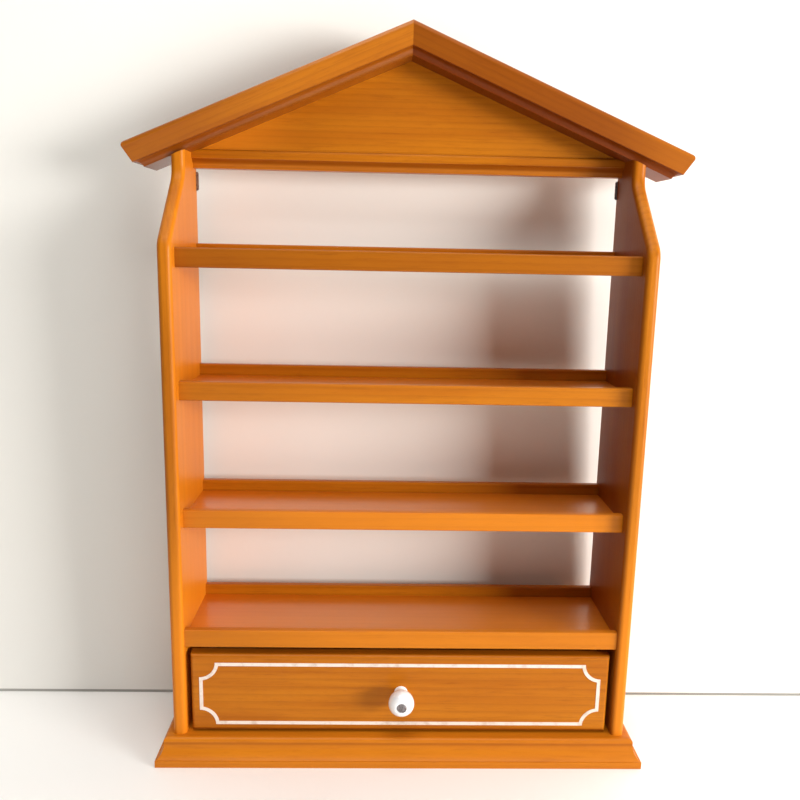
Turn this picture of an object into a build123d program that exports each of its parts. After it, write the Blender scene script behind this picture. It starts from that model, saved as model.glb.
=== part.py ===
from build123d import *
import math
import os

# House-shaped display bookcase with four shelves, a gable roof and one shallow drawer.
#
# Millimetres. X runs to the right, Y from the front to the back, Z up. The origin is the centre
# of the base board's underside.

os.makedirs("parts", exist_ok=True)

# ---- Driving dimensions -------------------------------------------------------------------

body_width = 330.0          # across the outer faces of the side panels
panel_thickness = 9.5       # 3/8 inch boards
panel_depth = 82.4
neck_depth = 36.9           # the panels' narrow top, under the roof
shoulder_height = 371.7     # where the panels' front edge turns back at 45 degrees
shoulder_radius = 14.0
panel_front_round = 3.5

base_width = 352.2
base_depth = 93.2
base_thickness = 19.8       # 3/4 inch boards
base_band = 5.2             # plain band at the foot of the routed edge
base_cove = 4.6             # how far the cove goes in
cove_point = (0.68, 0.36)   # a point of the cove, as shares of its width and its height
base_bead = 2.6             # radius of the bead above the cove
routed_step = 0.9           # the small ledges of the routed edges

roof_thickness = 19.8       # 3/4 inch boards
roof_half_width = 198.4     # ridge to the tip of an eave
roof_depth = 39.9
ridge_height = 520.6
eave_height = 437.1         # top edge at the tip
roof_band = 15.0            # height of the fascia above the routed cove
roof_lean = 2.2             # how far the fascia's foot is behind its top
roof_cove = 4.0             # how far the cove goes in
roof_nose = 3.2             # radius of the fascia's top edge

shelf_lip_tops = [368.0, 278.2, 186.7, 99.8]    # from the top shelf down
shelf_lip_setbacks = [10.1, 10.1, 10.1, 3.0]    # from the panels' front edge
strip_height = 13.2         # the lips and the rails
strip_thickness = 6.0
strip_round = 1.2
shelf_thickness = 5.0
shelf_drop = 6.0            # from a lip's top down to the board
rail_rise = 2.2             # from a lip's top up to the rail's top

gable_thickness = 12.7      # 1/2 inch board
gable_rail_height = 12.9
gable_rail_band = 6.2       # plain band above the rail's cove
gable_rail_cove = 4.1
gable_rail_nose = 2.0       # radius of the rail's top edge
gable_rail_thickness = 15.1
gable_rail_bottom = 423.4
gable_rail_brad_rise = 4.3  # from the rail's underside up to its brads

drawer_front_width = 303.6
drawer_front_bottom = 21.2
drawer_front_height = 59.9
drawer_front_thickness = 9.5
drawer_front_setback = 3.0  # from the panels' front edge
drawer_front_round = 2.2
tray_height = 48.0
tray_thickness = 6.0
tray_rebate = 4.0           # how deep the tray's sides enter the front
tray_floor_height = 6.0     # from the sides' lower edge to the floor panel
tray_floor_thickness = 3.0
tray_groove = 2.5           # how deep the floor panel enters the boards around it
running_gap = 0.3           # under and behind the closed drawer

line_half_width = 145.8     # painted border, outer edge
line_bottom = 26.2
line_top = 74.8
line_notch = 11.5           # radius of the concave corners
line_stroke = 2.5
line_thickness = 0.25

knob_height = 52.2
knob_radius = 9.2
knob_length = 21.0
knob_head_middle = 14.8     # from the drawer's face to the widest part of the head
knob_face_radius = 4.4
knob_foot_radius = 4.9
knob_neck_radius = 4.3
knob_neck_length = 3.6
knob_foot_taper = 0.5       # how much the radius falls for each mm in front of the foot
screw_radius = 2.0          # M4
screw_clearance = 0.15
screw_head_radius = 3.4
screw_head_height = 2.2
screw_head_round = 0.8
screw_slot_width = 0.9
screw_slot_depth = 1.0
screw_spare = 1.5           # length that shows behind the nut
washer_radius = 4.5
washer_thickness = 0.8
nut_across_flats = 7.0
nut_thickness = 3.2

eye_height = 414.8          # hanger plates, let in flush behind the tops of the side panels
eye_radius = 2.1
eye_pocket_radius = 3.0     # room in the panel's edge for a nail's head
eye_pocket_depth = 6.0
plate_width = 10.0
plate_height = 13.4
plate_thickness = 1.2
plate_corner = 1.5
plate_reach = 1.8           # how far a plate shows inside its panel
plate_screw_spacing = 9.0
plate_screw_radius = 0.9
plate_screw_head_radius = 1.8
plate_screw_length = 12.0

base_screw_radius = 1.7
base_screw_head_radius = 3.4
base_screw_length = 42.0
base_screw_inset = 18.0     # from the front and the back of the panel

brad_radius = 0.6
brad_length = 20.0
brad_set = 1.0              # how far a brad's head is set below the surface
roof_brad_length = 30.0
# Places of the brads along the edge they hold, as shares of its length.
shelf_brad_shares = (0.2, 0.8)
bay_back_brad_shares = (0.3, 0.7)
roof_brad_shares = (0.25, 0.75)
tray_brad_shares = (0.35, 0.8)

# ---- Sizes that follow ----------------------------------------------------------------------

back = base_depth / 2
panel_front = back - panel_depth
outer_face = body_width / 2
inner_face = outer_face - panel_thickness
panel_middle = (outer_face + inner_face) / 2
neck_front = back - neck_depth
half_base = base_width / 2

roof_pitch = math.atan2(ridge_height - eave_height, roof_half_width)
soffit_ridge = ridge_height - roof_thickness / math.cos(roof_pitch)
soffit_right = Plane(
    origin=(0, 0, soffit_ridge), z_dir=(math.sin(roof_pitch), 0, math.cos(roof_pitch))
)
soffit_left = Plane(
    origin=(0, 0, soffit_ridge), z_dir=(-math.sin(roof_pitch), 0, math.cos(roof_pitch))
)

rail_front = back - strip_thickness
drawer_face = panel_front + drawer_front_setback
drawer_front_back = drawer_face + drawer_front_thickness
tray_bottom = base_thickness + running_gap
tray_end = rail_front - running_gap
tray_half_width = drawer_front_width / 2
tray_start = drawer_front_back - tray_rebate
floor_bottom = tray_bottom + tray_floor_height


def write(piece, name):
    """Label a finished piece and write it to its own file."""
    piece.part.label = name
    export_step(piece.part, f"parts/{name}.step")


def box_between(low, high, mode=Mode.ADD):
    """Add or cut a box given by two opposite corners, inside the current part."""
    size = [high[i] - low[i] for i in range(3)]
    centre = tuple((high[i] + low[i]) / 2 for i in range(3))
    with Locations(centre):
        Box(*size, mode=mode)


def soffit_height(x):
    """Height of the roof's underside at a distance x from the middle."""
    return soffit_ridge - x * math.tan(roof_pitch)


def base_moulding(place):
    """Draw the base board's routed edge, from its foot up to its top face.

    place(inset, rise) gives a point of the sketch from the distance behind the foot and the
    height above it. The return value is the inset of the top face.
    """
    bead_foot = base_thickness - base_bead - routed_step
    cove_inset = routed_step + base_cove
    bead_bend = base_bead * (1 - math.sqrt(0.5))
    Line(place(0, 0), place(0, base_band))
    Line(place(0, base_band), place(routed_step, base_band))
    ThreePointArc(
        place(routed_step, base_band),
        place(
            routed_step + base_cove * cove_point[0],
            base_band + (bead_foot - base_band) * cove_point[1],
        ),
        place(cove_inset, bead_foot),
    )
    Line(place(cove_inset, bead_foot), place(cove_inset, bead_foot + routed_step))
    ThreePointArc(
        place(cove_inset, bead_foot + routed_step),
        place(cove_inset + bead_bend, base_thickness - bead_bend),
        place(cove_inset + base_bead, base_thickness),
    )
    return cove_inset + base_bead


def band_and_cove(place, nose, band, lean, cove, height):
    """Draw a routed edge from its top face down to its lower face: a rounded band, then a cove.

    place(inset, drop) gives a point of the sketch from the distance behind the front and the
    distance below the top face. The return value is the inset of the lower face.
    """
    nose_bend = nose * (1 - math.sqrt(0.5))
    inset = lean + routed_step + cove
    foot = Vector(*place(inset, height))
    above_foot = Vector(*place(inset, 0))
    ThreePointArc(place(nose, 0), place(nose_bend, nose_bend), place(0, nose))
    Line(place(0, nose), place(lean, band))
    Line(place(lean, band), place(lean + routed_step, band))
    TangentArc(foot, place(lean + routed_step, band), tangent=above_foot - foot)
    return inset


# ---- Brads and screws --------------------------------------------------------------------------

# Places of the brads in a side panel, as (Y, Z): two for each board that the panel holds.
side_brad_places = []
for lip_top, setback in zip(shelf_lip_tops, shelf_lip_setbacks):
    board_start = panel_front + setback + strip_thickness
    board_middle = lip_top - shelf_drop - shelf_thickness / 2
    for share in shelf_brad_shares:
        side_brad_places.append((board_start + share * (rail_front - board_start), board_middle))
for share in bay_back_brad_shares:
    bay_back_z = base_thickness + share * (shelf_lip_tops[-1] - base_thickness)
    side_brad_places.append((back - strip_thickness / 2, bay_back_z))
side_brad_places.append((back - gable_thickness / 2, gable_rail_bottom + gable_rail_brad_rise))

roof_brad_ys = [neck_front + share * neck_depth for share in roof_brad_shares]
base_screw_ys = [panel_front + base_screw_inset, back - base_screw_inset]


def side_brads(side, mode):
    """The brads through one side panel, towards the middle; side is 1 (right) or -1 (left)."""
    with BuildSketch(Plane.YZ.offset(side * (outer_face - brad_set))) as shanks:
        with Locations(side_brad_places):
            Circle(brad_radius)
    extrude(shanks.sketch, amount=-side * brad_length, mode=mode)


def roof_brads(side, mode):
    """The upright brads that hold one roof board on its side panel."""
    top = soffit_height(panel_middle) + roof_thickness / math.cos(roof_pitch) - brad_set
    with BuildSketch(Plane.XY.offset(top)) as shanks:
        with Locations([(side * panel_middle, y) for y in roof_brad_ys]):
            Circle(brad_radius)
    extrude(shanks.sketch, amount=-roof_brad_length, mode=mode)


def countersunk_screw(head_plane, radius, head_radius, length, mode):
    """A screw whose flat head lies in head_plane and whose shank runs along the plane's Z."""
    with BuildSketch(head_plane) as shank:
        Circle(radius)
    extrude(shank.sketch, amount=length, mode=mode)
    with Locations(head_plane):
        Cone(
            head_radius,
            radius,
            head_radius - radius,
            align=(Align.CENTER, Align.CENTER, Align.MIN),
            mode=mode,
        )


def base_screws(side, mode):
    """The screws up through the base board into one side panel."""
    for y in base_screw_ys:
        head_plane = Plane(origin=(side * panel_middle, y, 0))
        countersunk_screw(
            head_plane, base_screw_radius, base_screw_head_radius, base_screw_length, mode
        )


def hanger_screws(mode):
    """The two screws of the right hanger plate."""
    for offset in (-plate_screw_spacing / 2, plate_screw_spacing / 2):
        head_plane = Plane(origin=(panel_middle, back, eye_height + offset), z_dir=(0, -1, 0))
        countersunk_screw(
            head_plane, plate_screw_radius, plate_screw_head_radius, plate_screw_length, mode
        )


# ---- Hanger plates ---------------------------------------------------------------------------

eye_plane = Plane(origin=(panel_middle, back, eye_height), z_dir=(0, -1, 0))
plate_centre_x = inner_face - plate_reach + plate_width / 2

with BuildPart() as hanger_plate_right:
    with BuildSketch(Plane.XZ.offset(-back)):
        with Locations((plate_centre_x, eye_height)):
            RectangleRounded(plate_width, plate_height, plate_corner)
    extrude(amount=plate_thickness)
    with BuildSketch(eye_plane):
        Circle(eye_radius)
    extrude(amount=plate_thickness, mode=Mode.SUBTRACT)
    hanger_screws(Mode.SUBTRACT)
write(hanger_plate_right, "hanger_plate_right")

with BuildPart() as hanger_plate_left:
    mirror(hanger_plate_right.part, about=Plane.YZ)
write(hanger_plate_left, "hanger_plate_left")

with BuildPart() as hanger_screw_group:
    hanger_screws(Mode.ADD)
    mirror(about=Plane.YZ)
write(hanger_screw_group, "hanger_screws")

# ---- Side panels -----------------------------------------------------------------------------

with BuildPart() as side_panel_right:
    with BuildSketch(Plane.YZ.offset(inner_face)):
        with BuildLine():
            shoulder_rise = neck_front - panel_front
            FilletPolyline(
                (panel_front, base_thickness),
                (panel_front, shoulder_height),
                (neck_front, shoulder_height + shoulder_rise),
                (neck_front, ridge_height),
                radius=shoulder_radius,
            )
            Polyline(
                (neck_front, ridge_height),
                (back, ridge_height),
                (back, base_thickness),
                (panel_front, base_thickness),
            )
        make_face()
    extrude(amount=panel_thickness)
    end_faces = side_panel_right.faces().filter_by(Axis.Z)
    back_face = side_panel_right.faces().sort_by(Axis.Y)[-1]
    square_edges = end_faces.edges() + back_face.edges() + side_panel_right.edges().filter_by(Axis.X)
    fillet(side_panel_right.edges() - square_edges, panel_front_round)
    split(bisect_by=soffit_right, keep=Keep.BOTTOM)
    side_brads(1, Mode.SUBTRACT)
    roof_brads(1, Mode.SUBTRACT)
    base_screws(1, Mode.SUBTRACT)
    hanger_screws(Mode.SUBTRACT)
    add(hanger_plate_right.part, mode=Mode.SUBTRACT)
    with BuildSketch(eye_plane):
        Circle(eye_pocket_radius)
    extrude(amount=eye_pocket_depth, mode=Mode.SUBTRACT)
write(side_panel_right, "side_panel_right")

with BuildPart() as side_panel_left:
    mirror(side_panel_right.part, about=Plane.YZ)
write(side_panel_left, "side_panel_left")

with BuildPart() as side_brad_group:
    for side in (1, -1):
        side_brads(side, Mode.ADD)
write(side_brad_group, "side_brads")

# ---- Base board ------------------------------------------------------------------------------

with BuildPart() as base_board:
    with BuildSketch(Plane.XZ.offset(back)):
        with BuildLine():
            top_inset = base_moulding(lambda inset, rise: (half_base - inset, rise))
            Line((half_base - top_inset, base_thickness), (0, base_thickness))
            Line((0, base_thickness), (0, 0))
            Line((0, 0), (half_base, 0))
        make_face()
        mirror(about=Plane.YZ)
    extrude(amount=-base_depth)
    with BuildSketch(Plane.YZ.offset(-half_base)):
        with BuildLine():
            top_inset = base_moulding(lambda inset, rise: (inset - back, rise))
            Line((top_inset - back, base_thickness), (back, base_thickness))
            Line((back, base_thickness), (back, 0))
            Line((back, 0), (-back, 0))
        make_face()
    extrude(amount=base_width, mode=Mode.INTERSECT)
    for side in (1, -1):
        base_screws(side, Mode.SUBTRACT)
write(base_board, "base_board")

with BuildPart() as base_screw_group:
    for side in (1, -1):
        base_screws(side, Mode.ADD)
write(base_screw_group, "base_screws")

# ---- Shelves ---------------------------------------------------------------------------------

for number, (lip_top, setback) in enumerate(zip(shelf_lip_tops, shelf_lip_setbacks), start=1):
    lip_front = panel_front + setback
    board_front = lip_front + strip_thickness
    board_top = lip_top - shelf_drop
    rail_top = lip_top + rail_rise

    with BuildPart() as shelf_lip:
        box_between(
            (-inner_face, lip_front, lip_top - strip_height), (inner_face, board_front, lip_top)
        )
        long_edges = shelf_lip.edges().filter_by(Axis.X)
        fillet(long_edges, strip_round)
    write(shelf_lip, f"shelf_lip_{number}")

    with BuildPart() as shelf_board:
        box_between(
            (-inner_face, board_front, board_top - shelf_thickness),
            (inner_face, rail_front, board_top),
        )
        for side in (1, -1):
            side_brads(side, Mode.SUBTRACT)
    write(shelf_board, f"shelf_board_{number}")

    with BuildPart() as shelf_rail:
        box_between(
            (-inner_face, rail_front, rail_top - strip_height), (inner_face, back, rail_top)
        )
        upper_edges = shelf_rail.edges().filter_by(Axis.X).group_by(Axis.Z)[-1]
        fillet(upper_edges, strip_round)
    write(shelf_rail, f"shelf_rail_{number}")

lowest_rail_bottom = shelf_lip_tops[-1] + rail_rise - strip_height

with BuildPart() as drawer_bay_back:
    box_between((-inner_face, rail_front, base_thickness), (inner_face, back, lowest_rail_bottom))
    for side in (1, -1):
        side_brads(side, Mode.SUBTRACT)
write(drawer_bay_back, "drawer_bay_back")

# ---- Gable and roof --------------------------------------------------------------------------

gable_rail_top = gable_rail_bottom + gable_rail_height
gable_half_width = (soffit_ridge - gable_rail_top) / math.tan(roof_pitch)

with BuildPart() as gable_panel:
    with BuildSketch(Plane.XZ.offset(-back)):
        with BuildLine():
            Polyline(
                (-gable_half_width, gable_rail_top),
                (gable_half_width, gable_rail_top),
                (0, soffit_ridge),
                close=True,
            )
        make_face()
    extrude(amount=gable_thickness)
write(gable_panel, "gable_panel")

rail_face = back - gable_rail_thickness

with BuildPart() as gable_rail:
    with BuildSketch(Plane.YZ.offset(-inner_face)):
        with BuildLine():
            foot_inset = band_and_cove(
                lambda inset, drop: (rail_face + inset, gable_rail_top - drop),
                nose=gable_rail_nose,
                band=gable_rail_band,
                lean=0,
                cove=gable_rail_cove,
                height=gable_rail_height,
            )
            Polyline(
                (rail_face + foot_inset, gable_rail_bottom),
                (back, gable_rail_bottom),
                (back, gable_rail_top),
                (rail_face + gable_rail_nose, gable_rail_top),
            )
        make_face()
    extrude(amount=2 * inner_face)
    split(bisect_by=soffit_right, keep=Keep.BOTTOM)
    split(bisect_by=soffit_left, keep=Keep.BOTTOM)
    for side in (1, -1):
        side_brads(side, Mode.SUBTRACT)
write(gable_rail, "gable_rail")


def eave_point(inset, drop):
    """A point of the roof's end, from its top tip: inset along the slope, drop square to it."""
    return (
        roof_half_width - inset * math.cos(roof_pitch) - drop * math.sin(roof_pitch),
        eave_height + inset * math.sin(roof_pitch) - drop * math.cos(roof_pitch),
    )


def roof_edge(place):
    """Draw the routed edge of a roof board; the return value is the inset of the soffit."""
    return band_and_cove(place, roof_nose, roof_band, roof_lean, roof_cove, roof_thickness)


slope_length = roof_half_width / math.cos(roof_pitch)

with BuildPart() as roof_board_right:
    with BuildSketch(Plane.XZ.offset(-back)):
        with BuildLine():
            soffit_inset = roof_edge(eave_point)
            Polyline(
                eave_point(soffit_inset, roof_thickness),
                (0, soffit_ridge),
                (0, ridge_height),
                eave_point(roof_nose, 0),
            )
        make_face()
    extrude(amount=roof_depth)
    across_slope = Plane(
        origin=(0, back - roof_depth, ridge_height),
        x_dir=(0, 1, 0),
        z_dir=(math.cos(roof_pitch), 0, -math.sin(roof_pitch)),
    )
    with BuildSketch(across_slope):
        with BuildLine():
            soffit_inset = roof_edge(lambda inset, drop: (inset, -drop))
            Polyline(
                (soffit_inset, -roof_thickness),
                (roof_depth, -roof_thickness),
                (roof_depth, 0),
                (roof_nose, 0),
            )
        make_face()
    extrude(amount=slope_length + roof_thickness, both=True, mode=Mode.INTERSECT)
    roof_brads(1, Mode.SUBTRACT)
write(roof_board_right, "roof_board_right")

with BuildPart() as roof_board_left:
    mirror(roof_board_right.part, about=Plane.YZ)
write(roof_board_left, "roof_board_left")

with BuildPart() as roof_brad_group:
    for side in (1, -1):
        roof_brads(side, Mode.ADD)
write(roof_brad_group, "roof_brads")

# ---- Drawer ----------------------------------------------------------------------------------

tray_top = tray_bottom + tray_height
knob_plane = Plane(origin=(0, drawer_face, knob_height), x_dir=(1, 0, 0), z_dir=(0, -1, 0))

with BuildPart() as drawer_bottom:
    box_between(
        (
            -tray_half_width + tray_thickness - tray_groove,
            drawer_front_back - tray_groove,
            floor_bottom,
        ),
        (
            tray_half_width - tray_thickness + tray_groove,
            tray_end - tray_thickness + tray_groove,
            floor_bottom + tray_floor_thickness,
        ),
    )
write(drawer_bottom, "drawer_bottom")


def drawer_brads(mode):
    """Two brads through each tray side into the end of the drawer's back."""
    y = tray_end - tray_thickness / 2
    heights = [tray_bottom + tray_height * share for share in tray_brad_shares]
    for start, direction in ((-tray_half_width, 1), (tray_half_width, -1)):
        with BuildSketch(Plane.YZ.offset(start)) as shanks:
            with Locations([(y, z) for z in heights]):
                Circle(brad_radius)
        extrude(shanks.sketch, amount=direction * brad_length, mode=mode)


with BuildPart() as drawer_side_right:
    box_between(
        (tray_half_width - tray_thickness, tray_start, tray_bottom),
        (tray_half_width, tray_end, tray_top),
    )
    add(drawer_bottom.part, mode=Mode.SUBTRACT)
    drawer_brads(Mode.SUBTRACT)
write(drawer_side_right, "drawer_side_right")

with BuildPart() as drawer_side_left:
    mirror(drawer_side_right.part, about=Plane.YZ)
write(drawer_side_left, "drawer_side_left")

with BuildPart() as drawer_back:
    box_between(
        (-tray_half_width + tray_thickness, tray_end - tray_thickness, tray_bottom),
        (tray_half_width - tray_thickness, tray_end, tray_top),
    )
    add(drawer_bottom.part, mode=Mode.SUBTRACT)
    drawer_brads(Mode.SUBTRACT)
write(drawer_back, "drawer_back")

with BuildPart() as drawer_brad_group:
    drawer_brads(Mode.ADD)
write(drawer_brad_group, "drawer_brads")

with BuildPart() as drawer_front:
    box_between(
        (-tray_half_width, drawer_face, drawer_front_bottom),
        (tray_half_width, drawer_front_back, drawer_front_bottom + drawer_front_height),
    )
    face_edges = drawer_front.faces().sort_by(Axis.Y)[0].edges()
    fillet(face_edges, drawer_front_round)
    add(drawer_side_right.part, mode=Mode.SUBTRACT)
    add(drawer_side_left.part, mode=Mode.SUBTRACT)
    add(drawer_bottom.part, mode=Mode.SUBTRACT)
    with BuildSketch(knob_plane):
        Circle(screw_radius + screw_clearance)
    extrude(amount=-drawer_front_thickness, mode=Mode.SUBTRACT)
write(drawer_front, "drawer_front")


def notched_outline(inset):
    """Rectangle with concave quarter-round corners, moved in from the border's outer edge."""
    height = line_top - line_bottom
    with BuildSketch(mode=Mode.PRIVATE) as outline:
        Rectangle(2 * (line_half_width - inset), height - 2 * inset)
        corners = [
            (x * line_half_width, z * height / 2) for x in (-1, 1) for z in (-1, 1)
        ]
        with Locations(corners):
            Circle(line_notch + inset, mode=Mode.SUBTRACT)
    return outline.sketch


line_plane = Plane(
    origin=(0, drawer_face, (line_bottom + line_top) / 2), x_dir=(1, 0, 0), z_dir=(0, -1, 0)
)

with BuildPart() as drawer_line:
    with BuildSketch(line_plane):
        add(notched_outline(0))
        add(notched_outline(line_stroke), mode=Mode.SUBTRACT)
    extrude(amount=line_thickness)
write(drawer_line, "drawer_line")

# ---- Knob and its screw ------------------------------------------------------------------------

# The section's x is the radius and its y is minus the distance in front of the drawer.
with BuildPart() as drawer_knob:
    with BuildSketch(Plane(origin=(0, drawer_face, knob_height))):
        with BuildLine():
            Line((0, 0), (knob_foot_radius, 0))
            Spline(
                (knob_foot_radius, 0),
                (knob_neck_radius, -knob_neck_length),
                (knob_radius, -knob_head_middle),
                tangents=((-knob_foot_taper, -1), (0, -1)),
            )
            TangentArc(
                (knob_radius, -knob_head_middle), (knob_face_radius, -knob_length), tangent=(0, -1)
            )
            Line((knob_face_radius, -knob_length), (0, -knob_length))
            Line((0, -knob_length), (0, 0))
        make_face()
    revolve(axis=Axis((0, drawer_face, knob_height), (0, 1, 0)))
    with BuildSketch(knob_plane):
        Circle(screw_radius + screw_clearance)
    extrude(amount=knob_length, mode=Mode.SUBTRACT)
    with BuildSketch(knob_plane.offset(knob_length)):
        Circle(screw_head_radius + screw_clearance)
    extrude(amount=-screw_head_height, mode=Mode.SUBTRACT)
write(drawer_knob, "drawer_knob")

# Distances in front of the drawer's face, below zero behind it.
washer_end = -drawer_front_thickness - washer_thickness
nut_end = washer_end - nut_thickness
screw_end = nut_end - screw_spare
screw_seat = knob_length - screw_head_height

with BuildPart() as knob_screw:
    with BuildSketch(knob_plane.offset(screw_end)):
        Circle(screw_radius)
    extrude(amount=screw_seat - screw_end)
    with BuildSketch(knob_plane.offset(screw_seat)):
        Circle(screw_head_radius)
    extrude(amount=screw_head_height)
    head_rim = knob_screw.faces().sort_by(Axis.Y)[0].edges()
    fillet(head_rim, screw_head_round)
    with BuildSketch(knob_plane.offset(knob_length)):
        Rectangle(screw_slot_width, 2 * screw_head_radius)
    extrude(amount=-screw_slot_depth, mode=Mode.SUBTRACT)
write(knob_screw, "knob_screw")

with BuildPart() as knob_washer:
    with BuildSketch(knob_plane.offset(washer_end)):
        Circle(washer_radius)
        Circle(screw_radius + screw_clearance, mode=Mode.SUBTRACT)
    extrude(amount=washer_thickness)
write(knob_washer, "knob_washer")

with BuildPart() as knob_nut:
    with BuildSketch(knob_plane.offset(nut_end)):
        RegularPolygon(nut_across_flats / 2, 6, major_radius=False)
        Circle(screw_radius, mode=Mode.SUBTRACT)
    extrude(amount=nut_thickness)
write(knob_nut, "knob_nut")
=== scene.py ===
"""Looks of the house-shaped display bookcase: lacquered boards, porcelain knob, painted line."""

import math

import bpy
from mathutils import Matrix, Vector

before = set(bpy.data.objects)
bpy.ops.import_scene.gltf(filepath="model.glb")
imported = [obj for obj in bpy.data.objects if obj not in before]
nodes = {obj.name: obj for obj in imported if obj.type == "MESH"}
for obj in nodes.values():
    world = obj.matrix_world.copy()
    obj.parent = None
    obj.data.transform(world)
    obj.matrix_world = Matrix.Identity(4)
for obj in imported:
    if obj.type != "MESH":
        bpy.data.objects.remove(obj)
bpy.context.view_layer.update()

MM = 0.001

# ---- Node helpers -----------------------------------------------------------------------------


def linear(value):
    """Linear value of an sRGB value from 0 to 255."""
    value /= 255
    if value <= 0.04045:
        return value / 12.92
    return ((value + 0.055) / 1.055) ** 2.4


def srgb(red, green, blue):
    """Linear RGBA of a colour given as three sRGB values from 0 to 255."""
    return (linear(red), linear(green), linear(blue), 1.0)


class Nodes:
    """A new material with short calls for making and joining its nodes."""

    def __init__(self, name):
        self.material = bpy.data.materials.new(name)
        self.material.use_nodes = True
        self.tree = self.material.node_tree
        self.shader = self.tree.nodes["Principled BSDF"]

    def link(self, source, target):
        self.tree.links.new(source, target)

    def set(self, **values):
        """Set the shader's own sockets; an underscore stands for a space."""
        for name, value in values.items():
            self.shader.inputs[name.replace("_", " ")].default_value = value

    def coordinates(self, stretch=(1, 1, 1), offset=(0, 0, 0), tilt=0.0):
        """Object coordinates in metres, drawn out along each axis after a turn about Y."""
        source = self.tree.nodes.new("ShaderNodeTexCoord")
        mapping = self.tree.nodes.new("ShaderNodeMapping")
        mapping.vector_type = "TEXTURE"
        mapping.inputs["Location"].default_value = offset
        mapping.inputs["Rotation"].default_value = (0, tilt, 0)
        mapping.inputs["Scale"].default_value = stretch
        self.link(source.outputs["Object"], mapping.inputs["Vector"])
        return mapping.outputs["Vector"]

    def noise(self, vector, scale, detail=3.0, roughness=0.5, distortion=0.0):
        node = self.tree.nodes.new("ShaderNodeTexNoise")
        node.inputs["Scale"].default_value = scale
        node.inputs["Detail"].default_value = detail
        node.inputs["Roughness"].default_value = roughness
        node.inputs["Distortion"].default_value = distortion
        self.link(vector, node.inputs["Vector"])
        return node.outputs["Fac"]

    def rings(self, vector, axis, scale, distortion):
        """Growth rings about an axis through the origin of the coordinates."""
        node = self.tree.nodes.new("ShaderNodeTexWave")
        node.wave_type = "RINGS"
        node.rings_direction = axis
        node.wave_profile = "SAW"
        node.inputs["Scale"].default_value = scale
        node.inputs["Distortion"].default_value = distortion
        node.inputs["Detail"].default_value = 2.0
        node.inputs["Detail Scale"].default_value = 0.15
        self.link(vector, node.inputs["Vector"])
        return node.outputs["Fac"]

    def remap(self, value, low, high, to_low=0.0, to_high=1.0):
        """Stretch the range low..high to to_low..to_high, clamped, with a smooth step."""
        node = self.tree.nodes.new("ShaderNodeMapRange")
        node.interpolation_type = "SMOOTHSTEP"
        node.inputs["From Min"].default_value = low
        node.inputs["From Max"].default_value = high
        node.inputs["To Min"].default_value = to_low
        node.inputs["To Max"].default_value = to_high
        self.link(value, node.inputs["Value"])
        return node.outputs["Result"]

    def mix(self, share, first, second, blend="MIX"):
        """Mix two colours; each may be a colour tuple or a socket, and so may the share."""
        node = self.tree.nodes.new("ShaderNodeMix")
        node.data_type = "RGBA"
        node.blend_type = blend
        for place, value in ((0, share), (6, first), (7, second)):
            if isinstance(value, bpy.types.NodeSocket):
                self.link(value, node.inputs[place])
            else:
                node.inputs[place].default_value = value
        return node.outputs[2]

    def add(self, first, second, factor=1.0):
        """first + second * factor."""
        node = self.tree.nodes.new("ShaderNodeMath")
        node.operation = "MULTIPLY_ADD"
        self.link(second, node.inputs[0])
        node.inputs[1].default_value = factor
        self.link(first, node.inputs[2])
        return node.outputs["Value"]

    def bump(self, height, strength, distance):
        node = self.tree.nodes.new("ShaderNodeBump")
        node.inputs["Strength"].default_value = strength
        node.inputs["Distance"].default_value = distance
        self.link(height, node.inputs["Height"])
        self.link(node.outputs["Normal"], self.shader.inputs["Normal"])


# ---- Wood ---------------------------------------------------------------------------------------

WOOD_TONES = (srgb(189, 112, 16), srgb(173, 96, 10), srgb(106, 41, 3))
PALE_WOOD = srgb(229, 133, 28)
BIRCH = (srgb(222, 190, 148), srgb(196, 158, 112))
PLYWOOD = (srgb(206, 168, 120), srgb(176, 134, 88))
GRAIN_STRETCH = 14.0        # the grain's features are this many times longer than wide
GROOVE_BLUR = 0.9 * MM      # over which the painted shade in a groove fades out


def along_grain(axis):
    """Stretch of the texture for a board whose grain runs along one axis."""
    return tuple(GRAIN_STRETCH if name == axis else 1.0 for name in "XYZ")


def painted_groove_shade(made, colour, top, tilt, band, groove, share):
    """Darken a cove or lower edge that faces down with painted shade.

    top is the height of the board's top face above the origin, tilt its slope, band the depth
    below that face where the groove starts, groove the groove's height.
    """
    split = made.tree.nodes.new("ShaderNodeSeparateXYZ")
    made.link(made.coordinates(offset=(0, 0, top), tilt=tilt), split.inputs[0])
    height = split.outputs["Z"]
    end = -band - groove
    above_end = made.remap(height, end - GROOVE_BLUR, end + GROOVE_BLUR, 0, share)
    above_start = made.remap(height, -band - GROOVE_BLUR / 2, -band)
    groove_shaded = made.mix(above_end, colour, WOOD_TONES[2])
    return made.mix(above_start, groove_shaded, colour)


def drift(made, colour, axis, start, end, share, dark):
    """Make the colour gradually darker or paler along an axis, between two places; some of these
    changes are painted light or shade.
    """
    split = made.tree.nodes.new("ShaderNodeSeparateXYZ")
    made.link(made.coordinates(), split.inputs[0])
    amount = made.remap(split.outputs[axis], start, end, 0, share)
    return made.mix(amount, colour, WOOD_TONES[2] if dark else PALE_WOOD)


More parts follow.
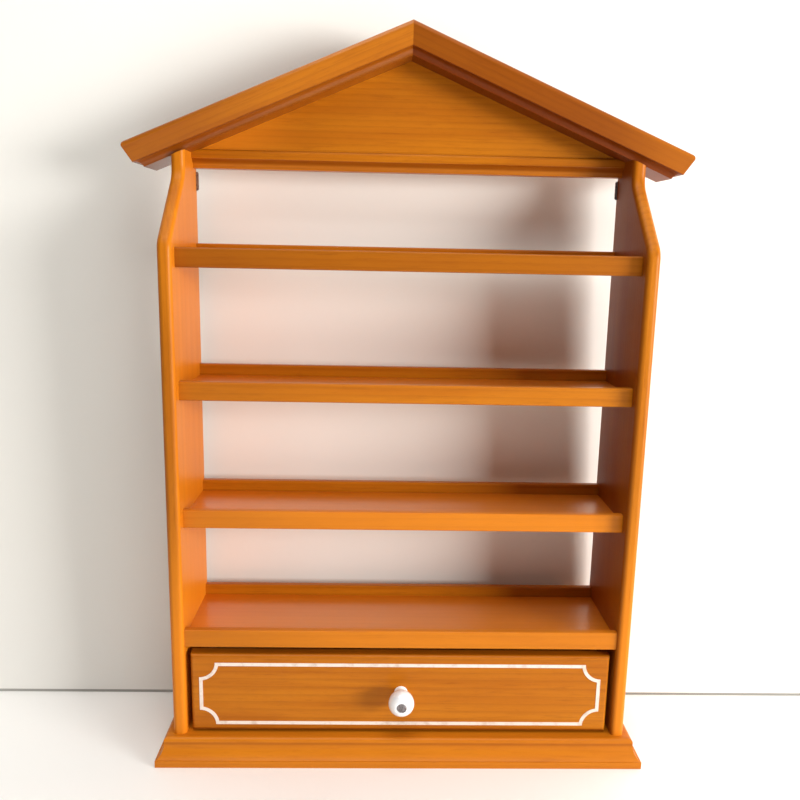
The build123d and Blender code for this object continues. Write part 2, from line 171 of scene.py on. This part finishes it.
def lacquered_wood(name, axis, seed, shade=0.0, tilt=0.0, gloss=0.1, groove=None, drifts=()):
    """Stained, lacquered hardwood with nearly straight grain along one axis.

    shade makes a board darker (above 0) or lighter (below 0). tilt turns the grain about the
    Y axis, for the sloping roof boards. groove holds the values for the painted shade of a cove
    or lower edge, drifts those of drift.
    """
    made = Nodes(name)
    offset = (0.11 + seed * 0.013, 0.09 + seed * 0.017, -0.12 - seed * 0.011)
    grain = made.coordinates(along_grain(axis), offset, tilt)
    even = made.coordinates(offset=offset)

    figure = made.noise(grain, 60.0, detail=4.0, roughness=0.55, distortion=0.6)
    growth = made.rings(grain, axis, 75.0, 9.0)
    streaks = made.noise(grain, 480.0, detail=3.0, roughness=0.6, distortion=0.2)
    fibre = made.noise(grain, 2200.0, detail=2.0, roughness=0.7)
    patches = made.noise(even, 9.0, detail=2.0)

    light, middle, dark = WOOD_TONES
    colour = made.mix(made.remap(figure, 0.32, 0.68), light, middle)
    colour = made.mix(made.remap(growth, 0.45, 1.0, 0.0, 0.17), colour, dark)
    colour = made.mix(made.remap(streaks, 0.5, 0.8, 0.0, 0.3), colour, dark)
    colour = made.mix(made.remap(fibre, 0.52, 0.78, 0.0, 0.22), colour, dark)
    colour = made.mix(made.remap(patches, 0.35, 0.7, 0.0, 0.25), colour, middle)
    if shade:
        colour = made.mix(abs(shade), colour, dark if shade > 0 else PALE_WOOD)
    for change in drifts:
        colour = drift(made, colour, **change)
    # Painted shade in a cove or lower edge that faces down.
    if groove:
        colour = painted_groove_shade(made, colour, tilt=tilt, **groove)
    made.link(colour, made.shader.inputs["Base Color"])

    rough = made.remap(patches, 0.3, 0.7, 0.30, 0.38)
    made.link(made.add(rough, fibre, 0.06), made.shader.inputs["Roughness"])
    made.set(Specular_IOR_Level=0.14, Coat_Weight=gloss, Coat_Roughness=0.22, Coat_IOR=1.45)
    ripple = made.noise(even, 160.0, detail=1.0)
    relief = made.add(made.add(fibre, streaks, 0.6), ripple, 0.5)
    made.bump(relief, 0.14, 0.25 * MM)
    return made.material


def raw_wood(name, axis, seed, colours):
    """Bare, sanded pale wood, as inside the drawer."""
    made = Nodes(name)
    offset = (0.10 + seed * 0.013, 0.12 + seed * 0.019, -0.11 - seed * 0.011)
    grain = made.coordinates(along_grain(axis), offset)
    figure = made.noise(grain, 80.0, detail=4.0, roughness=0.6, distortion=0.5)
    growth = made.rings(grain, axis, 60.0, 8.0)
    fibre = made.noise(grain, 1300.0, detail=2.0, roughness=0.7)
    light, dark = colours
    colour = made.mix(made.remap(figure, 0.35, 0.68), light, dark)
    colour = made.mix(made.remap(growth, 0.5, 1.0, 0.0, 0.35), colour, dark)
    colour = made.mix(made.remap(fibre, 0.5, 0.75, 0.0, 0.4), colour, dark)
    made.link(colour, made.shader.inputs["Base Color"])
    made.link(made.remap(fibre, 0.3, 0.7, 0.55, 0.7), made.shader.inputs["Roughness"])
    made.bump(fibre, 0.3, 0.3 * MM)
    return made.material


# ---- Other materials ----------------------------------------------------------------------------


def porcelain():
    """White glazed porcelain with a faint unevenness under the glaze."""
    made = Nodes("porcelain")
    even = made.coordinates()
    cloud = made.noise(even, 240.0, detail=2.0)
    made.link(
        made.mix(made.remap(cloud, 0.35, 0.7), srgb(250, 249, 246), srgb(238, 240, 242)),
        made.shader.inputs["Base Color"],
    )
    made.link(made.remap(cloud, 0.3, 0.7, 0.08, 0.16), made.shader.inputs["Roughness"])
    made.set(Specular_IOR_Level=0.6, Coat_Weight=0.8, Coat_Roughness=0.05)
    made.bump(made.noise(even, 420.0, detail=1.0), 0.06, 0.0003)
    return made.material


def white_paint():
    """Hand-ruled satin enamel: warm white, a little thin in places."""
    made = Nodes("white_paint")
    even = made.coordinates()
    thin = made.noise(even, 120.0, detail=3.0, roughness=0.6)
    made.link(
        made.mix(made.remap(thin, 0.45, 0.75), srgb(230, 216, 204), srgb(206, 184, 166)),
        made.shader.inputs["Base Color"],
    )
    made.link(made.remap(thin, 0.3, 0.7, 0.36, 0.5), made.shader.inputs["Roughness"])
    made.bump(made.noise(even, 900.0, detail=2.0), 0.2, 0.0001)
    return made.material


def metal(name, bright, dull, roughness):
    """Plated steel with fine scratches and dull spots."""
    made = Nodes(name)
    even = made.coordinates()
    drawn = made.coordinates((1, 1, 6))
    spots = made.noise(even, 500.0, detail=3.0, roughness=0.6)
    lines = made.noise(drawn, 4200.0, detail=2.0, roughness=0.7)
    made.link(
        made.mix(made.remap(spots, 0.45, 0.7), bright, dull), made.shader.inputs["Base Color"]
    )
    made.link(
        made.add(made.remap(spots, 0.3, 0.7, roughness, roughness + 0.18), lines, 0.08),
        made.shader.inputs["Roughness"],
    )
    made.set(Metallic=1.0)
    made.bump(lines, 0.15, 0.0001)
    return made.material


# ---- Dress the CAD nodes --------------------------------------------------------------------------


def dress(node, material):
    """Give a CAD node one material in all its slots."""
    mesh = nodes[node].data
    mesh.materials.clear()
    mesh.materials.append(material)


def soften(node, width, segments=2):
    """Ease a board's sharp edges, as sanding and lacquer do."""
    bevel = nodes[node].modifiers.new("eased_edges", "BEVEL")
    bevel.width = width
    bevel.segments = segments
    bevel.limit_method = "ANGLE"
    bevel.angle_limit = math.radians(35)
    bevel.use_clamp_overlap = True
    bevel.harden_normals = True


RIDGE = 520.6 * MM          # height of the roof's top edge in the middle
EAVE = 437.1 * MM           # height of the top edge at the tip of an eave
ROOF_RUN = 198.4 * MM       # from the ridge to the tip of an eave
GABLE_RAIL_TOP = 436.3 * MM
DRAWER_TOP = 81.1 * MM
BASE_TOP = 19.8 * MM

roof_slope = math.atan2(RIDGE - EAVE, ROOF_RUN)

# Coves and lower edges darkened with painted shade where they face down, measured down from a board's
# top face.
under_fascia = dict(top=RIDGE, band=14.4 * MM, groove=6 * MM)
under_rail = dict(top=GABLE_RAIL_TOP, band=6.2 * MM, groove=3.4 * MM, share=0.5)
under_bead = dict(top=BASE_TOP, band=2.8 * MM, groove=2 * MM, share=0.3)
drawer_foot = dict(top=DRAWER_TOP, band=57.4 * MM, groove=5 * MM, share=0.6)

# Gradual changes of the stain. Some stand for light on the wood rather than stain.
pale_foot = dict(axis="Z", start=0.21, end=0.07, share=0.65, dark=False)
pale_shoulder = dict(axis="Z", start=0.30, end=0.36, share=0.2, dark=False)
# The left panel's inner face, which faces the window, is made paler: painted light.
painted_light_inside = dict(axis="X", start=-0.1575, end=-0.1557, share=0.5, dark=False)
# The right panel's inner face, turned away from the window, is made darker: painted shade.
painted_shade_inside = dict(axis="X", start=0.1575, end=0.1557, share=0.6, dark=True)
# The lips darken towards their left ends, away from the window's light: painted shade.
painted_shade_left_end = dict(axis="X", start=-0.02, end=-0.15, share=0.22, dark=True)
dark_left_eave = dict(axis="X", start=-0.06, end=-0.17, share=0.4, dark=True)
# The gable panel turns paler towards its left end: a painted sheen.
painted_sheen_gable = dict(axis="X", start=-0.07, end=-0.13, share=0.5, dark=False)
# The right roof board turns paler towards its eave, where more light falls: painted light.
painted_light_right_eave = dict(axis="X", start=0.13, end=0.19, share=0.2, dark=False)

boards = {
    "side_panel_left": dict(
        axis="Z", seed=1.0, shade=0.12, gloss=0, drifts=[pale_foot, pale_shoulder, painted_light_inside]
    ),
    "side_panel_right": dict(axis="Z", seed=2.3, gloss=0, drifts=[pale_foot, painted_shade_inside]),
    "base_board": dict(axis="X", seed=3.1, shade=-0.25, groove=under_bead),
    "drawer_bay_back": dict(axis="X", seed=3.9),
    "gable_panel": dict(axis="X", seed=4.7, drifts=[painted_sheen_gable]),
    "gable_rail": dict(axis="X", seed=5.3, groove=under_rail),
    "roof_board_left": dict(
        axis="X", seed=6.1, tilt=-roof_slope, gloss=0.5, drifts=[dark_left_eave],
        groove=dict(share=0.5, **under_fascia),
    ),
    "roof_board_right": dict(
        axis="X", seed=7.7, tilt=roof_slope, shade=0.6, gloss=0.05, drifts=[painted_light_right_eave],
        groove=dict(share=0.8, **under_fascia),
    ),
    "drawer_front": dict(axis="X", seed=8.2, groove=drawer_foot),
}
lip_shades = [0.38, -0.05, -0.45, -0.35]
for number, shade in enumerate(lip_shades, start=1):
    boards[f"shelf_lip_{number}"] = dict(
        axis="X", seed=17.0 + number * 1.91, shade=shade, drifts=[painted_shade_left_end]
    )
    # The shelf boards' paler shade is partly their tone and partly painted light and sheen on their
    # tops.
    boards[f"shelf_board_{number}"] = dict(axis="X", seed=10.0 + number * 1.37, shade=-0.6, gloss=1.0)
    boards[f"shelf_rail_{number}"] = dict(axis="X", seed=27.0 + number * 1.53)
for node, grain in boards.items():
    dress(node, lacquered_wood("wood_" + node, **grain))
    soften(node, 0.35 * MM)

tray = {"drawer_side_left": ("Y", 1.1), "drawer_side_right": ("Y", 2.2), "drawer_back": ("X", 3.3)}
for node, (axis, seed) in tray.items():
    dress(node, raw_wood("birch_" + node, axis, seed, BIRCH))
    soften(node, 0.3 * MM)
dress("drawer_bottom", raw_wood("plywood", "X", 4.4, PLYWOOD))
dress("drawer_line", white_paint())
dress("drawer_knob", porcelain())

zinc = metal("zinc", srgb(196, 196, 194), srgb(150, 150, 152), 0.3)
dark_steel = metal("dark_steel", srgb(150, 146, 148), srgb(104, 98, 102), 0.32)
for node in ("base_screws", "side_brads", "roof_brads", "drawer_brads", "knob_washer", "knob_nut"):
    dress(node, zinc)
for node in ("hanger_plate_left", "hanger_plate_right", "hanger_screws", "knob_screw"):
    dress(node, dark_steel)

# ---- Stage: table, wall, light and camera ------------------------------------------------------------

wall_distance = 0.0531      # behind the origin, at the table
wall_slant = -0.001         # the shelf stands a little askew to the wall
wall_lean = 0.04            # the wall falls back a little towards the top
gap_shadow_height = 2.2 * MM      # painted shadow of the gap between the table and the wall
gap_shadow_lift = 0.3 * MM        # in front of the wall
wall_height = 3.0
reach = 4.0                 # of the table and the wall, from the middle


def plain(name, colour, roughness, one_sided=False):
    """A matt stage material; one-sided surfaces don't show from behind."""
    made = Nodes(name)
    even = made.coordinates()
    cloud = made.noise(even, 3.0, detail=2.0)
    made.link(
        made.mix(made.remap(cloud, 0.3, 0.7, 0.0, 0.3), colour, srgb(236, 234, 230)),
        made.shader.inputs["Base Color"],
    )
    made.set(Roughness=roughness)
    if one_sided:
        geometry = made.tree.nodes.new("ShaderNodeNewGeometry")
        clear = made.tree.nodes.new("ShaderNodeBsdfTransparent")
        mixer = made.tree.nodes.new("ShaderNodeMixShader")
        output = made.tree.nodes["Material Output"]
        made.link(geometry.outputs["Backfacing"], mixer.inputs["Fac"])
        made.link(made.shader.outputs["BSDF"], mixer.inputs[1])
        made.link(clear.outputs["BSDF"], mixer.inputs[2])
        made.link(mixer.outputs["Shader"], output.inputs["Surface"])
    return made.material


def stage_sheet(name, corners, material):
    """A flat four-sided piece of the stage."""
    mesh = bpy.data.meshes.new(name)
    mesh.from_pydata(corners, [], [(0, 1, 2, 3)])
    mesh.materials.append(material)
    sheet = bpy.data.objects.new(name, mesh)
    bpy.context.scene.collection.objects.link(sheet)


def wall_corners(height, lift=0.0):
    """Corners of a sheet on the wall, from the table up to a height, lifted off the wall."""
    return [
        (x, wall_distance - lift + wall_slant * x + wall_lean * z, z)
        for x, z in ((-reach, 0), (reach, 0), (reach, height), (-reach, height))
    ]


stage_sheet(
    "table",
    [(-reach, -reach, 0), (reach, -reach, 0), (reach, reach, 0), (-reach, reach, 0)],
    plain("table", srgb(249, 249, 247), 0.45),
)
stage_sheet(
    "wall",
    wall_corners(wall_height),
    plain("wall", srgb(238, 236, 230), 0.8, one_sided=True),
)
stage_sheet(
    "gap_shadow",
    wall_corners(gap_shadow_height, gap_shadow_lift),
    plain("gap_shadow", srgb(128, 126, 118), 0.8, one_sided=True),
)


def area_light(name, place, target, size, power, colour):
    """A soft rectangular light aimed at a point."""
    data = bpy.data.lights.new(name, "AREA")
    data.shape = "RECTANGLE"
    data.size, data.size_y = size
    data.energy = power
    data.color = colour
    lamp = bpy.data.objects.new(name, data)
    lamp.location = place
    lamp.rotation_euler = (Vector(target) - Vector(place)).to_track_quat("-Z", "Y").to_euler()
    bpy.context.scene.collection.objects.link(lamp)


DAYLIGHT = (1.0, 0.985, 0.96)
WHITE_LIGHT = (1.0, 0.99, 0.97)
SHELF_MIDDLE = (0, 0, 0.25)
area_light("window", (1.64, -1.13, 0.476), SHELF_MIDDLE, size=(0.89, 0.60), power=46, colour=DAYLIGHT)
area_light("room", (0.2, -2.2, 1.8), SHELF_MIDDLE, size=(2.4, 1.8), power=6, colour=DAYLIGHT)
area_light("ceiling", (0.0, -0.75, 2.1), (0, 0, 0), size=(1.5, 1.5), power=29, colour=WHITE_LIGHT)

world = bpy.data.worlds.new("world")
world.use_nodes = True
background = world.node_tree.nodes["Background"]
background.inputs["Color"].default_value = (*WHITE_LIGHT, 1.0)
background.inputs["Strength"].default_value = 0.07
bpy.context.scene.world = world
bpy.context.scene.view_settings.view_transform = "Standard"
bpy.context.scene.view_settings.exposure = 0.0

yaw, pitch, roll = (math.radians(angle) for angle in (1.64, -11.09, 1.20))
forward = Vector((math.sin(yaw) * math.cos(pitch), math.cos(yaw) * math.cos(pitch), math.sin(pitch)))
level = Vector((math.cos(yaw), -math.sin(yaw), 0))
upright = level.cross(forward)
right = math.cos(roll) * level + math.sin(roll) * upright
up = math.cos(roll) * upright - math.sin(roll) * level

camera_place = (-0.0205, -0.5715, 0.3749)
camera_data = bpy.data.cameras.new("camera")
camera_data.sensor_width = 36.0
camera_data.lens = 36.5
camera = bpy.data.objects.new("camera", camera_data)
turn = Matrix((right, up, -forward)).transposed().to_4x4()
camera.matrix_world = Matrix.Translation(camera_place) @ turn
bpy.context.scene.collection.objects.link(camera)
bpy.context.scene.camera = camera
